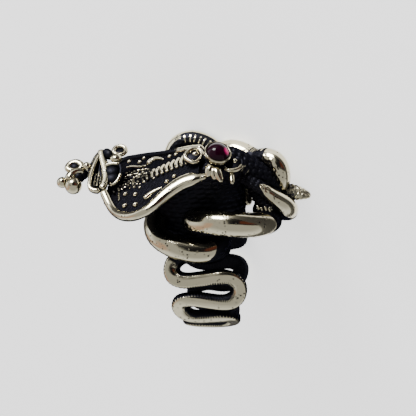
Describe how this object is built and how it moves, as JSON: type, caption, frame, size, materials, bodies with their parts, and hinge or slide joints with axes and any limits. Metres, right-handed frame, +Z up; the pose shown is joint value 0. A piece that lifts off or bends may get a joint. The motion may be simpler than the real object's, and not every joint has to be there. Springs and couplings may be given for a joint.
{
  "type": "cobra ring",
  "caption": "Finger ring: a coiled snake whose winding body is the open band, with a spread cobra hood, an open-jawed head and a round garnet on its collar.",
  "frame": {"origin": "on the floor, under the middle of the box of the ring as it lies on its far side", "axes": "+Z up; +X along the snake's pile towards the tail, close to the finger's axis; -Y towards the bottom of the band"},
  "size_m": [0.0436, 0.0393, 0.0257],
  "materials": {
    "silver": "oxidised sterling silver, black in the recesses and polished on the high spots",
    "garnet": "polished dark red cabochon"
  },
  "bodies": {
    "root": {"silver_casting": "silver", "garnet": "garnet"}
  },
  "joints": []
}
